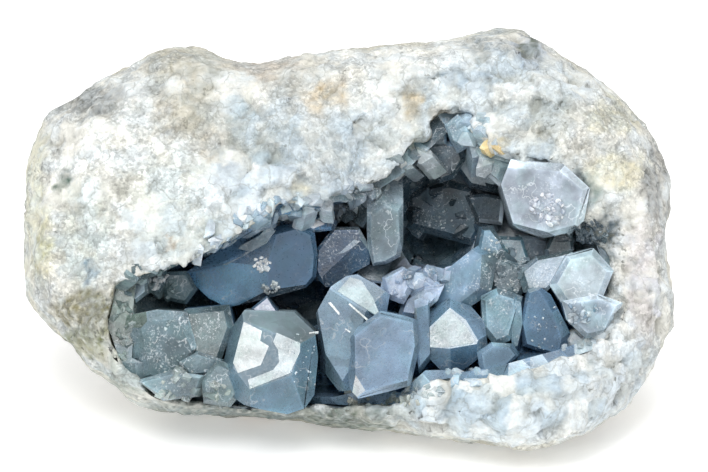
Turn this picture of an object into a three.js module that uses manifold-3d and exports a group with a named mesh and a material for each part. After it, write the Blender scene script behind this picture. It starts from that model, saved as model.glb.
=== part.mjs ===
// A celestite geode: half of a pale limestone nodule, broken open on a hollow full of blue crystals.
// Millimetres, +Z up, standing on the small flat under the nodule. The open face looks towards -Y.
//
// The shapes are drawn in the frame of the open face: u to the right, v up along the face and w out
// of it, towards whoever looks in. The last step leans that frame back and stands it on the flat.

import * as THREE from "three";
import Module from "manifold-3d";
import { mergeVertices } from "three/addons/utils/BufferGeometryUtils.js";
import { ImprovedNoise } from "three/addons/math/ImprovedNoise.js";

const wasm = await Module();
wasm.setup();

// How the nodule stands
const FACE_LEAN = 20; // degrees that the line of sight into the hollow looks down
const FACE_ORIGIN = [1.5, 3.4, 44]; // where the middle of the face stands above the rest plane
const EYE = 900; // the outlines are as seen from this far in front of the face

// The nodule
const FRONT_HALF = 47; // depth of the whole nodule in front of its widest section
const BACK_HALF = 45; // depth behind it
const FRONT_SQUARENESS = 2.4; // superellipse powers: higher is boxier
const BACK_SQUARENESS = 2.2;
const BACK_SLANT = 0.3; // the widest section lies back from bottom to top
const BASE_BULGE = { u: 46, v: -55, wide: 28, tall: 20, out: 9 }; // the lobe that it leans on
const FEET = [ // swellings under the back that it rests on with the lobe; across is their radius
  { u: -30, v: -34, w: -30, across: 24, out: 7 },
  { u: 8, v: -36, w: -32, across: 24, out: 5 },
];
const STONE_DETAIL = 11;

// The broken face, above the widest section
const BREAK_LEVEL = 27;
const BREAK_STEP = 6; // spacing of the points that shape it
const BREAK_JITTER = 2.4; // how far they wander, so that the facets are uneven

// The hollow
const HOLLOW_LEVEL = 15; // its widest section, behind the broken face
const HOLLOW_FRONT = 44;
const HOLLOW_BACK = 34;
const HOLLOW_SQUARENESS = 2.6;
const CHAMBER = { u: 22, v: -1, w: 0, wide: 14, tall: 12, deep: 36 }; // the dark pit at the right
const GAP = 0.3; // between the crystals and the stone
const LINING = 2.6; // thickness of the skin of small crystals on the wall
const LINING_STEP_BACK = 6; // the lining stops this far short of the broken face
const ROOTS = 1.5; // the large crystals end this deep under the hollow's wall, in the lining
const WALL_FACETS = [40, 9]; // facets round and along the hollow's wall
const LINING_FACETS = [22, 6];

const RIM = [ // the nodule's outline, clockwise from the left end
  [-86, 5.5], [-85.5, 24], [-81.3, 31.6], [-72, 37.6], [-61.6, 44.2], [-51, 49.5], [-43.2, 50.3],
  [-31.3, 46.3], [-14.2, 47.9], [1.6, 50.3], [22.6, 51.6], [38.4, 54.7], [45, 54.5], [53, 49],
  [66, 41], [76.6, 31], [81, 20], [83.7, 12], [82, 0.3], [83, -18.2], [80.5, -28.2], [71.3, -42.6],
  [58.2, -50.3], [45, -54.5], [30.5, -52.4], [12, -49.7], [-6.3, -47.6], [-28.7, -45.3],
  [-52.4, -44], [-64.2, -37], [-77.4, -24.7], [-85.3, -15],
];

const MOUTH_CENTRE = [8, -12];
const MOUTH = [ // the edge of the hollow, clockwise from the left end
  [-64.5, -20], [-63.5, -15], [-61, -10], [-56, -7], [-50, -7.2], [-44.5, -7], [-39.2, -4.5],
  [-30, 2], [-22, 5.5], [-21, 10], [-16.8, 9.4], [-9, 10], [-5, 11.5], [1.6, 12.6], [11.5, 17.4],
  [13.5, 22.6], [15.5, 29], [22.6, 32], [31, 31.5], [36, 25], [41, 22], [56, 20.5], [63, 13],
  [64.7, 3], [68, -6], [70, -15], [67, -24], [58, -30.5], [50, -32.5], [43.7, -34], [38, -36.5],
  [26, -36.5], [19, -37], [16, -41], [-1, -43], [-16.8, -43.6], [-36.6, -43], [-52, -41.5],
  [-60, -35], [-64, -27],
];

// The large crystals. table is the flat face turned to the front, w its height, look the degrees
// that it looks up and to the right, slopes how steeply the facet beyond each of its edges falls
// away, and outline the crystal's whole shape, which its sides follow back into the wall.
const CRYSTALS = [
  { // the big block at the lower left, with a five-sided face
    table: [[-29.2, -22.4], [-13.9, -28.2], [-16.3, -36.6], [-27.4, -40.5], [-31.8, -34.7]],
    w: 39, look: [14, -6], slopes: [42, 55, 38, 50, 60],
    outline: [
      [-33, -25], [-29, -19.6], [-16, -20.2], [-10.3, -25.6], [-9.5, -32], [-10.5, -42],
      [-13, -45.5], [-17.5, -47], [-23, -46], [-29, -44.5], [-33, -42], [-34.5, -33],
    ],
  },
  { // the tall one behind the middle, with a pale sloping top
    table: [[-9.6, -19.5], [-6.5, -14], [3, -20], [-0.5, -34], [-3, -38], [-7.5, -31]],
    w: 35, look: [8, -14], slopes: [75, 33, 60, 60, 60, 70],
    outline: [
      [-10.2, -19.5], [-6.5, -13.6], [-2, -10.6], [1, -10.2], [5, -12.4], [9.5, -15.5],
      [8, -24], [4, -40], [-4, -41], [-8, -36],
    ],
  },
  { // the broad one in front of the middle
    table: [
      [0.2, -26.5], [7, -21], [15.5, -22.8], [16, -29], [14, -38], [3, -40.6], [0.4, -36.5],
    ],
    w: 42, look: [8, 4], slopes: [40, 50, 70, 75, 55, 30, 65],
    outline: [
      [-1, -27], [1, -24], [7, -19.8], [13, -21], [17, -22.3], [17.4, -30], [15, -39.4],
      [9, -41], [1.2, -42.8], [-1, -40.5], [-1.7, -37], [-0.8, -31],
    ],
  },
  { // the narrow side crystal right of it
    table: [[16.5, -19], [19.5, -18], [19.8, -24], [20, -31], [17.5, -34], [16.5, -28]],
    w: 34, look: [5, 20], slopes: 60,
  },
  { // the lilac cluster under the pit
    table: [[8.2, -11.2], [12.6, -9], [14, -13.5], [12.6, -16.6], [9.4, -15.2]],
    w: 27, look: [18, -12], slopes: 50,
    outline: [
      [7.4, -11], [10, -9.6], [13, -8.1], [15.4, -9.6], [15.5, -14], [13, -18], [9, -16.6],
      [7.8, -13.8],
    ],
  },
  {
    table: [[15.5, -9.6], [20, -9.8], [22, -12.2], [18, -13.4], [15, -14.5]],
    w: 24, look: [30, 10], slopes: 50,
    outline: [
      [14.2, -9.2], [17, -8.7], [20.5, -9], [23.5, -11.5], [22, -14.5], [16, -17], [13.5, -14],
    ],
  },
  {
    table: [[14, -17], [18.5, -14.2], [22.5, -13.6], [21, -17], [17, -20.5], [13, -20]],
    w: 28, look: [20, -20], slopes: 50,
  },
  { // the seven-sided one at the right
    table: [
      [25.3, -18.9], [29.5, -22.1], [32.6, -27.4], [31.8, -30], [25.3, -29.6], [20, -30.5],
      [19.2, -24.7],
    ],
    w: 33, look: [12, -2], slopes: [50, 45, 60, 42, 42, 70, 55],
    outline: [
      [17.8, -24], [20, -19.5], [25.3, -16.5], [31, -18.6], [34.4, -22.5], [35.4, -29.5],
      [32, -33], [28.5, -35.6], [24.5, -37], [21, -33.5], [18.6, -31],
    ],
  },
  { // the upright one above it
    table: [
      [22.8, -10.2], [31, -3.6], [33.6, -5], [33, -13.5], [27, -18.2], [21.5, -19], [20.4, -14],
    ],
    w: 22, look: [18, -20], slopes: [70, 50, 50, 55, 50, 60, 70],
    outline: [
      [21.6, -10.4], [30.8, -2.8], [34.6, -1], [38.6, -3], [36, -15], [27, -21], [20, -21],
      [19, -15],
    ],
  },
  {
    table: [[33.2, -4.6], [34.4, 1.4], [36.8, 1.6], [38.2, -1.5], [39.8, -3.5], [36.5, -6.8]],
    w: 19, look: [10, 5], slopes: 60,
  },
  {
    table: [[38.8, -1], [43.8, -1.2], [45.4, -6.6], [42, -8.4], [39.5, -4.6]],
    w: 14, look: [15, -10], slopes: 60,
  },
  { // the speckled dark one
    table: [
      [36.8, -6], [41, -7.5], [44, -8.5], [44.6, -12], [43, -15], [38, -14.5], [36.5, -11],
    ],
    w: 20, look: [5, 0], slopes: 50,
  },
  {
    table: [[44.4, -0.6], [50.6, -1.4], [50.5, -4.8], [46, -7.6]],
    w: 8, look: [0, 10], slopes: 60,
  },
  {
    table: [[51.2, -3.6], [52.8, -0.2], [56.6, 0.6], [57, -3.4], [54.6, -5], [51.6, -5]],
    w: 18, look: [0, -12], slopes: 60,
  },
  {
    table: [
      [44.8, -9.5], [48.6, -6.4], [56, -5], [55.8, -8], [50.4, -13.6], [46, -13.6],
    ],
    w: 25, look: [20, -10], slopes: 55,
  },
  { // the dark blue blade at the right
    table: [
      [46.2, -15], [48.6, -14.2], [52.2, -20], [54.6, -27], [53.8, -31], [45.6, -28.4],
      [44.6, -23.4],
    ],
    w: 27, look: [-4, -8], slopes: [60, 35, 35, 45, 60, 60, 60],
    outline: [
      [45.8, -14], [49, -13.4], [51.8, -15.4], [57.2, -26], [56.6, -30.2], [54.2, -32.6],
      [50, -30.8], [44.6, -29], [43.8, -23.4],
    ],
  },
  { // the green ones between the blade and the seven-sided crystal
    table: [
      [34.6, -17], [38, -15.4], [42, -16.6], [42.4, -20], [40.5, -26], [37.5, -27.2], [35, -24],
    ],
    w: 27, look: [12, 8], slopes: 45,
  },
  {
    table: [[33.6, -31], [36.6, -29], [41, -29.4], [42.4, -31.4], [38, -35.6], [34.6, -37]],
    w: 34, look: [4, 10], slopes: 50,
  },
  {
    table: [
      [42.6, -17], [45.6, -18], [44.4, -23], [44.8, -28.4], [42.4, -29], [41.4, -24],
    ],
    w: 26, look: [5, 20], slopes: 60,
  },
  { // the pale ones along the right edge
    table: [[57, -6.4], [62.5, -5], [66.5, -9.5], [64, -15.5], [56.5, -17], [53.5, -12.5]],
    w: 32, look: [10, -5], slopes: 40,
  },
  {
    table: [[56.4, -18], [64, -16.6], [69, -18.4], [66, -24.6], [61.5, -25.6], [57.5, -21.8]],
    w: 34, look: [-5, 6], slopes: 45,
  },
  { // the pale block that hangs over the pit
    table: [[38.8, 13.5], [40.5, 18], [54, 17], [60, 12], [58, 3], [51, 1], [42, 3.4]],
    w: 25, look: [-6, -14], slopes: [80, 45, 40, 40, 50, 70, 75],
    outline: [
      [38.4, 13.4], [37, 17.5], [41, 20.5], [55, 19], [62, 12.5], [60.5, 4], [57, 1],
      [50.3, -0.6], [43.6, 1.9], [40.4, 4.2],
    ],
  },
  {
    table: [[32.6, 22], [35, 20.4], [39, 19], [37.4, 15.4], [34.6, 17.6]],
    w: 16, look: [-10, -25], slopes: 60,
    outline: [
      [31.4, 24.2], [36, 25], [43, 22], [42, 14], [38.6, 13.4], [34, 17.4], [32, 20.6],
    ],
  },
  { // the blue cube over the pit and its neighbours
    table: [[24.8, 28.8], [27.4, 31], [29.6, 28.6], [30.4, 26], [28.2, 24], [26.2, 25.4]],
    w: 15, look: [-12, -8], slopes: 55,
  },
  {
    table: [[27, 24.4], [31.8, 27.2], [33, 24.6], [30.4, 23.8], [28, 22.4]],
    w: 12, look: [-20, 0], slopes: 60,
  },
  {
    table: [[18.4, 28], [23.6, 28.4], [23.8, 24.4], [19, 24]],
    w: 8, look: [-10, 5], slopes: 70,
  },
  { // the dark faces down in the pit
    table: [
      [17.4, 22.4], [20.4, 24.4], [27, 23.4], [28, 20], [25.8, 16.4], [23, 15.4], [20.6, 17.2],
    ],
    w: 3, look: [-14, 0], slopes: 50,
  },
  {
    table: [[28.4, 22.4], [31, 23.8], [32, 21], [36, 15.6], [37.6, 12.6], [31, 14], [28, 18]],
    w: -4, look: [-10, -15], slopes: 50,
  },
  {
    table: [[15.4, 10], [25, 12.8], [30.4, 11.4], [33.4, 4], [30.6, -0.6], [16, 3.4]],
    w: -12, look: [-8, -6], slopes: 55,
  },
  {
    table: [[30.6, 10], [34.4, 10.4], [38.6, 9.6], [38, 4], [33, 4.6]],
    w: -6, look: [0, -25], slopes: 50,
  },
  { // the pale prism that hangs in the middle
    table: [
      [4.6, 5.4], [8, 7.6], [11.6, 6.6], [12, -1], [11, -5], [8, -6.6], [5.4, -7], [4.4, 0],
    ],
    w: 14, look: [-4, 6], slopes: [50, 50, 60, 40, 50, 60, 60, 55],
    outline: [
      [3.4, 1.4], [3.4, 15], [13, 16], [13, -1.4], [12.3, -5.4], [8.6, -7.4], [5, -7.9],
      [3.6, -3],
    ],
  },
  { // the long steel-blue one at the left of the middle, with two large faces
    table: [
      [-20.4, 0.4], [-15, 1.8], [-11.6, 0.2], [-10.6, -5], [-11, -10.6], [-12.8, -12.8],
      [-22.6, -14.2], [-23, -8],
    ],
    w: 15, look: [2, 10], slopes: [60, 50, 45, 45, 50, 50, 24, 24],
    outline: [
      [-44.4, -9.8], [-40, -6.6], [-34, -4], [-28, -1.6], [-22, 2.4], [-15, 3.2], [-10.4, 1],
      [-9.6, -5], [-10, -11], [-12.6, -13.6], [-18, -15], [-25, -17], [-33.5, -18.8],
      [-38.4, -16.4], [-42, -13],
    ],
  },
  { // the ledge along its top
    table: [
      [-43, -8.8], [-36, -3.8], [-29.6, -0.2], [-24.4, 1.2], [-22.4, -0.4], [-28, -4],
      [-34.4, -6.8],
    ],
    w: 14, look: [30, -8], slopes: 60,
  },
  {
    table: [[-20.6, 8.4], [-17.6, 7], [-14.2, 3.6], [-13.6, 1.2], [-20.6, 0.8]],
    w: 8, look: [-10, 12], slopes: 60,
  },
  {
    table: [[-13.6, 3], [-11, 4.6], [-8, 5.6], [-5.2, 4.2], [-6, 2], [-10.4, 1.6]],
    w: 12, look: [30, 0], slopes: 60,
  },
  { // the greyer one beside it, bent across the middle
    table: [
      [-9.6, -9], [-9.2, -3.8], [-5, 1.6], [1, 1.6], [1.8, -1], [-6, -8.5], [-8.6, -11],
    ],
    w: 12, look: [4, -6], slopes: [60, 55, 60, 50, 20, 20, 60],
    outline: [
      [-10.4, -9.4], [-10, -3.6], [-5.4, 2.4], [1.2, 2.4], [4.4, -3.2], [4.2, -7.4],
      [0, -9.6], [-4.4, -13.4], [-7.4, -13.4], [-9.6, -11.4],
    ],
  },
  {
    table: [[1, -8.6], [4.4, -7.6], [8, -7.8], [8, -12], [4, -11.5], [1, -10]],
    w: 6, look: [20, 0], slopes: 50,
  },
  {
    table: [[-26.2, -19], [-23.2, -16.6], [-20.6, -19.8], [-24, -21]],
    w: 26, look: [20, 10], slopes: 60,
  },
  { // the broken ones at the left end
    table: [[-54.6, -9], [-50.6, -8.6], [-49.6, -11], [-51.4, -14], [-54.8, -13]],
    w: 20, look: [10, 20], slopes: 50,
  },
  {
    table: [[-49.6, -10.4], [-44.4, -10.2], [-42.4, -14], [-44.6, -17], [-49, -16]],
    w: 16, look: [-8, 10], slopes: 50,
  },
  {
    table: [[-61, -13.6], [-58.4, -9], [-55.4, -9.4], [-55, -14.6], [-57.6, -16.6], [-61.4, -15.4]],
    w: 24, look: [12, -14], slopes: 50,
  },
  { // the dark grainy face at the lower left, and the crystals round it
    table: [
      [-56, -24.2], [-54.4, -22.4], [-46.2, -22], [-42.6, -30], [-46.4, -34.8],
      [-50.4, -37.4], [-53.6, -36.4],
    ],
    w: 33, look: [-6, -4], slopes: [50, 45, 40, 50, 50, 50, 40],
    outline: [
      [-62, -26], [-60, -21], [-52, -19.4], [-44, -20], [-41.4, -29], [-45, -36.4],
      [-51, -40], [-57, -38], [-61, -31],
    ],
  },
  {
    table: [
      [-45, -24], [-43.4, -20.6], [-34.4, -19.8], [-33.4, -24], [-36.4, -32.4], [-41, -30.4],
    ],
    w: 31, look: [16, 6], slopes: 50,
  },
  {
    table: [[-45, -33.4], [-41, -31.2], [-35.8, -33], [-38.2, -35.8], [-43, -36.2]],
    w: 35, look: [-10, 8], slopes: 50,
  },
  {
    table: [[-56, -38.6], [-48, -36.4], [-40.6, -37.4], [-42, -41.6], [-50, -42.6]],
    w: 37, look: [-15, -5], slopes: 50,
  },
  {
    table: [[-39, -38], [-35.8, -34], [-33, -35.4], [-31.4, -41.6], [-33.2, -43.8], [-38.6, -43]],
    w: 37, look: [0, 12], slopes: 60,
  },
  {
    table: [[-63, -25.4], [-60, -23.6], [-57.6, -26], [-57.4, -32], [-60, -34], [-62.6, -30]],
    w: 29, look: [0, -20], slopes: 50,
  },
];
const CRYSTAL_DEPTH = 40; // how far a large crystal runs back
const CRYSTAL_GROWTH = 1.3; // outline over table where no outline is given

// The small crystals between them
const SMALL_CRYSTALS = 24;
const SMALL_LENGTH = [6, 11];
const SMALL_SEED = 7;

const FAR = 400; // longer than anything here

const noise = new ImprovedNoise();

function lumps(point, size, seed) {
  return noise.noise(point.x / size + seed, point.y / size + 0.37, point.z / size + 0.71);
}

function gauss(u, v, spot) {
  const across = (u - spot.u) / spot.wide;
  const along = (v - spot.v) / spot.tall;
  return Math.exp(-(across * across + along * along));
}

function randomFrom(seed) {
  let state = seed;
  return () => {
    state = (state * 1664525 + 1013904223) % 4294967296;
    return state / 4294967296;
  };
}

// Solids from closed geometries, and back

function solidOf(geometry) {
  const bare = geometry.clone();
  bare.deleteAttribute("normal");
  bare.deleteAttribute("uv");
  const merged = mergeVertices(bare, 1e-4);
  return new wasm.Manifold(new wasm.Mesh({
    numProp: 3,
    vertProperties: new Float32Array(merged.attributes.position.array),
    triVerts: new Uint32Array(merged.index.array),
  }));
}

function geometryOf(solid) {
  const mesh = solid.getMesh();
  const geometry = new THREE.BufferGeometry();
  geometry.setAttribute("position", new THREE.BufferAttribute(mesh.vertProperties, 3));
  geometry.setIndex(new THREE.BufferAttribute(mesh.triVerts, 1));
  return geometry;
}

function joined(solids) {
  return solids.reduce((whole, next) => whole.add(next));
}

function moved(geometry, change) {
  const position = geometry.attributes.position;
  const point = new THREE.Vector3();
  for (let i = 0; i < position.count; i += 1) {
    point.fromBufferAttribute(position, i);
    change(point);
    position.setXYZ(i, point.x, point.y, point.z);
  }
  return geometry;
}

// Distance from centre to a closed smooth outline in a given direction

function outlineReach(points, centre) {
  const nodes = points.map(([u, v]) => new THREE.Vector3(u - centre[0], v - centre[1], 0));
  const curve = new THREE.CatmullRomCurve3(nodes, true, "centripetal");
  const samples = curve.getPoints(points.length * 12)
    .map((p) => ({ angle: Math.atan2(p.y, p.x), reach: Math.hypot(p.x, p.y) }))
    .sort((a, b) => a.angle - b.angle);
  return (angle) => {
    let next = samples.findIndex((sample) => sample.angle >= angle);
    next = Math.max(next, 0);
    const before = samples[(next + samples.length - 1) % samples.length];
    const after = samples[next];
    const span = after.angle - before.angle;
    const share = span > 1e-9 ? (angle - before.angle) / span : 0;
    return before.reach + (after.reach - before.reach) * THREE.MathUtils.clamp(share, 0, 1);
  };
}

// The nodule lies back from bottom to top, and its lower right lobe swells forwards
function slant(point) {
  point.z += -BACK_SLANT * point.y + BASE_BULGE.out * gauss(point.x, point.y, BASE_BULGE);
}

function roundReach(direction, reach, front, back, frontPower, backPower) {
  const flat = Math.hypot(direction.x, direction.y);
  const ahead = direction.z > 0;
  const power = ahead ? frontPower : backPower;
  const deep = ahead ? front : back;
  const wide = reach(Math.atan2(direction.y, direction.x));
  return ((flat / wide) ** power + (Math.abs(direction.z) / deep) ** power) ** (-1 / power);
}

function nodule() {
  const reach = outlineReach(RIM, [0, 0]);
  const ball = new THREE.IcosahedronGeometry(1, STONE_DETAIL);
  moved(ball, (point) => {
    const far = roundReach(
      point, reach, FRONT_HALF, BACK_HALF, FRONT_SQUARENESS, BACK_SQUARENESS,
    );
    const place = point.clone().multiplyScalar(far);
    const relief = 2.6 * lumps(place, 27, 3) + 1.3 * lumps(place, 10, 9);
    const sideways = Math.hypot(point.x, point.y);
    const quiet = 1 - 0.75 * sideways ** 8; // the outline itself is drawn, so it moves little
    const foot = FEET.reduce((sum, { u, v, w, across, out }) => (
      sum + out * Math.exp(-place.distanceToSquared(new THREE.Vector3(u, v, w)) / across ** 2)
    ), 0);
    point.multiplyScalar(far + relief * quiet + foot);
    slant(point);
  });
  return solidOf(ball);
}

// Height of the broken face over the widest section
const BREAK_FORMS = [
  { u: -55, v: 12, wide: 30, tall: 30, out: 4 }, // the swelling white left side
  { u: -32, v: 8, wide: 11, tall: 8, out: 3.5 }, // the knob over the left of the hollow
  { u: -14, v: 24, wide: 22, tall: 12, out: 3.5 }, // the brow
  { u: 8, v: 18, wide: 13, tall: 13, out: -6 }, // where it falls into the pit
  { u: 26, v: 33, wide: 13, tall: 8, out: -5 },
  { u: 52, v: 24, wide: 20, tall: 16, out: 2.5 },
  { u: 45, v: -44, wide: 26, tall: 12, out: 6 }, // the lower right lobe
  { u: -26, v: -49, wide: 34, tall: 9, out: -14 }, // where the lower lip is broken away
  { u: -78, v: 0, wide: 10, tall: 40, out: -6 }, // the edges fall away to the rind
  { u: 78, v: 0, wide: 10, tall: 40, out: -5 },
];

function breakHeight(u, v) {
  const point = new THREE.Vector3(u, v, 0);
  let height = BREAK_LEVEL;
  for (const form of BREAK_FORMS) {
    height += form.out * gauss(u, v, form);
  }
  return height + 2.4 * lumps(point, 15, 21) + 1.4 * lumps(point, 8, 33);
}

// Everything in front of the broken face, set forwards or back by offset
function frontSpace(offset) {
  const wide = 220;
  const tall = 160;
  const deep = 120;
  const block = new THREE.BoxGeometry(
    wide, tall, deep, Math.round(wide / BREAK_STEP), Math.round(tall / BREAK_STEP), 1,
  );
  moved(block, (point) => {
    const behind = point.z < 0;
    const grid = point.clone().setZ(0);
    point.x += BREAK_JITTER * lumps(grid, BREAK_STEP * 1.3, 71);
    point.y += BREAK_JITTER * lumps(grid, BREAK_STEP * 1.3, 83);
    point.z = behind ? breakHeight(point.x, point.y) + offset : deep;
    slant(point);
  });
  return solidOf(block);
}

// The hollow, smaller by inset all round
function hollow(inset, facets = WALL_FACETS) {
  const reach = outlineReach(MOUTH, MOUTH_CENTRE);
  const ball = new THREE.SphereGeometry(1, ...facets);
  ball.rotateX(Math.PI / 2);
  moved(ball, (point) => {
    const far = roundReach(
      point, reach, HOLLOW_FRONT, HOLLOW_BACK, HOLLOW_SQUARENESS, HOLLOW_SQUARENESS,
    );
    const place = point.clone().multiplyScalar(far);
    point.multiplyScalar(far + 2 * lumps(place, 9, 51) - inset);
    point.x += MOUTH_CENTRE[0];
    point.y += MOUTH_CENTRE[1];
    point.z += HOLLOW_LEVEL;
    slant(point);
  });
  const chamber = new THREE.SphereGeometry(1, 12, 8);
  moved(chamber, (point) => {
    const bump = 1 + 0.12 * lumps(point, 0.7, 61);
    point.x = CHAMBER.u + point.x * (CHAMBER.wide * bump - inset);
    point.y = CHAMBER.v + point.y * (CHAMBER.tall * bump - inset);
    point.z = CHAMBER.w + point.z * (CHAMBER.deep * bump - inset);
  });
  return solidOf(ball).add(solidOf(chamber));
}

// Everything beyond a plane
function beyond(point, normal) {
  const block = new THREE.BoxGeometry(FAR, FAR, FAR);
  block.translate(0, 0, FAR / 2);
  const turn = new THREE.Quaternion().setFromUnitVectors(new THREE.Vector3(0, 0, 1), normal);
  block.applyQuaternion(turn);
  block.translate(point.x, point.y, point.z);
  return solidOf(block);
}

function middleOf(points) {
  const sum = points.reduce(([u, v], [pu, pv]) => [u + pu, v + pv], [0, 0]);
  return [sum[0] / points.length, sum[1] / points.length];
}

function prism(outline, top, depth) {
  const shape = new THREE.Shape(outline.map(([u, v]) => new THREE.Vector2(u, v)));
  const geometry = new THREE.ExtrudeGeometry(shape, { depth, bevelEnabled: false });
  geometry.translate(0, 0, top - depth);
  return solidOf(geometry);
}

// A large crystal: a prism with a flat face in front and a facet beyond each edge of that face
function crystal({ table, w, look, slopes, outline }) {
  const nearer = 1 - w / EYE;
  const scaled = (points) => points.map(([u, v]) => [u * nearer, v * nearer]);
  const face = scaled(table);
  const centre = middleOf(face);
  const grown = face.map(([u, v]) => [
    centre[0] + (u - centre[0]) * CRYSTAL_GROWTH,
    centre[1] + (v - centre[1]) * CRYSTAL_GROWTH,
  ]);
  const sides = outline ? scaled(outline) : grown;
  const [up, right] = look.map(THREE.MathUtils.degToRad);
  const normal = new THREE.Vector3(
    Math.sin(right) * Math.cos(up), Math.sin(up), Math.cos(right) * Math.cos(up),
  );
  const middle = new THREE.Vector3(centre[0], centre[1], w);
  const onFace = ([u, v]) => new THREE.Vector3(
    u, v, w - (normal.x * (u - middle.x) + normal.y * (v - middle.y)) / normal.z,
  );
  let solid = prism(sides, w + CRYSTAL_DEPTH, 2 * CRYSTAL_DEPTH).subtract(beyond(middle, normal));
  face.forEach((corner, i) => {
    const from = onFace(corner);
    const to = onFace(face[(i + 1) % face.length]);
    const outwards = new THREE.Vector3().subVectors(to, from).normalize().cross(normal);
    if (outwards.dot(new THREE.Vector3().subVectors(from, middle)) < 0) {
      outwards.negate();
    }
    const slope = THREE.MathUtils.degToRad(Array.isArray(slopes) ? slopes[i] : slopes);
    const facet = normal.clone().multiplyScalar(Math.cos(slope))
      .addScaledVector(outwards, Math.sin(slope));
    solid = solid.subtract(beyond(from, facet));
  });
  return solid;
}

// A small crystal on the wall: a bar with a roof-shaped end that points into the hollow
function smallCrystal(random) {
  const angle = random() * 2 * Math.PI;
  const down = 0.25 + random() * 0.6;
  const direction = new THREE.Vector3(
    Math.cos(angle) * Math.cos(down), Math.sin(angle) * Math.cos(down), -Math.sin(down),
  );
  const reach = outlineReach(MOUTH, MOUTH_CENTRE);
  const far = roundReach(
    direction, reach, HOLLOW_FRONT, HOLLOW_BACK, HOLLOW_SQUARENESS, HOLLOW_SQUARENESS,
  );
  const place = direction.clone().multiplyScalar(far - LINING);
  place.add(new THREE.Vector3(MOUTH_CENTRE[0], MOUTH_CENTRE[1], HOLLOW_LEVEL));
  slant(place);
  const length = THREE.MathUtils.lerp(SMALL_LENGTH[0], SMALL_LENGTH[1], random());
  const wide = length * (0.5 + 0.3 * random());
  const thick = wide * (0.5 + 0.3 * random());
  const aim = new THREE.Vector3(random() - 0.5, random() - 0.5, random() * 0.8)
    .addScaledVector(direction, -1.1).normalize();
  const turn = new THREE.Quaternion().setFromUnitVectors(new THREE.Vector3(0, 0, 1), aim)
    .multiply(new THREE.Quaternion().setFromAxisAngle(new THREE.Vector3(0, 0, 1), 7 * random()));
  const bar = new THREE.BoxGeometry(wide, thick, 2 * length);
  bar.applyQuaternion(turn).translate(place.x, place.y, place.z);
  const roof = THREE.MathUtils.degToRad(38 + 14 * random());
  const tip = place.clone().addScaledVector(aim, length * (0.9 - 0.2 * random()));
  return [-roof, roof * 0.8].reduce((solid, slope) => {
    const facet = new THREE.Vector3(Math.sin(slope), 0.2, Math.cos(slope)).normalize();
    return solid.subtract(beyond(tip, facet.applyQuaternion(turn)));
  }, solidOf(bar));
}

function smallCrystals() {
  const random = randomFrom(SMALL_SEED);
  return Array.from({ length: SMALL_CRYSTALS }, () => smallCrystal(random));
}

function lining() {
  const inside = hollow(LINING, LINING_FACETS);
  return hollow(GAP).subtract(inside).subtract(frontSpace(-LINING_STEP_BACK));
}

function shellSolid() {
  return nodule().subtract(frontSpace(0)).subtract(hollow(0));
}

function crustSolid() {
  const room = hollow(ROOTS).add(frontSpace(GAP));
  const crystals = joined([...CRYSTALS.map(crystal), ...smallCrystals()]);
  return lining().add(crystals.intersect(room));
}

// The one connected surface with the most faces: leaves out chips and the sealed pockets between
// crystals, which are thereby filled
function largestBody(geometry) {
  const index = geometry.index.array;
  const leader = Array.from({ length: geometry.attributes.position.count }, (_, i) => i);
  const lead = (corner) => {
    let top = corner;
    while (leader[top] !== top) {
      top = leader[top];
    }
    leader[corner] = top;
    return top;
  };
  for (let i = 0; i < index.length; i += 3) {
    leader[lead(index[i])] = lead(index[i + 1]);
    leader[lead(index[i + 1])] = lead(index[i + 2]);
  }
  const faces = new Map();
  for (let i = 0; i < index.length; i += 3) {
    const body = lead(index[i]);
    faces.set(body, [...(faces.get(body) ?? []), index[i], index[i + 1], index[i + 2]]);
  }
  const largest = [...faces.values()].sort((a, b) => b.length - a.length)[0];
  geometry.setIndex(largest);
  return geometry;
}

// Leans the face back and cuts off whatever is under the rest plane
function standing(solid) {
  const geometry = geometryOf(solid);
  const lean = new THREE.Matrix4().makeRotationX(THREE.MathUtils.degToRad(90 - FACE_LEAN));
  lean.setPosition(...FACE_ORIGIN);
  geometry.applyMatrix4(lean);
  const below = beyond(new THREE.Vector3(0, 0, 0), new THREE.Vector3(0, 0, -1));
  return largestBody(geometryOf(solidOf(geometry).subtract(below)));
}

function piece(name, solid, material) {
  const geometry = standing(solid);
  geometry.computeVertexNormals();
  const mesh = new THREE.Mesh(geometry, new THREE.MeshStandardMaterial(material));
  mesh.name = name;
  return mesh;
}

const geode = new THREE.Group();
geode.add(
  piece("geode_shell", shellSolid(), { color: 0xdfe0da, roughness: 0.9, metalness: 0 }),
  piece("crystal_crust", crustSolid(), { color: 0x8fa9bf, roughness: 0.12, metalness: 0 }),
);

export default geode;
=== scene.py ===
# A celestite geode: half of a pale nodule, broken open on a hollow full of blue crystals.
# Metres, +Z up, the open face towards -Y. Places on the face are given in millimetres as seen from
# in front: u to the right and v up from its middle, and w for how far something stands out of it.
import math
import random

import bmesh
import bpy
from mathutils import Matrix, Quaternion, Vector, noise
from mathutils.bvhtree import BVHTree


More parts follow.
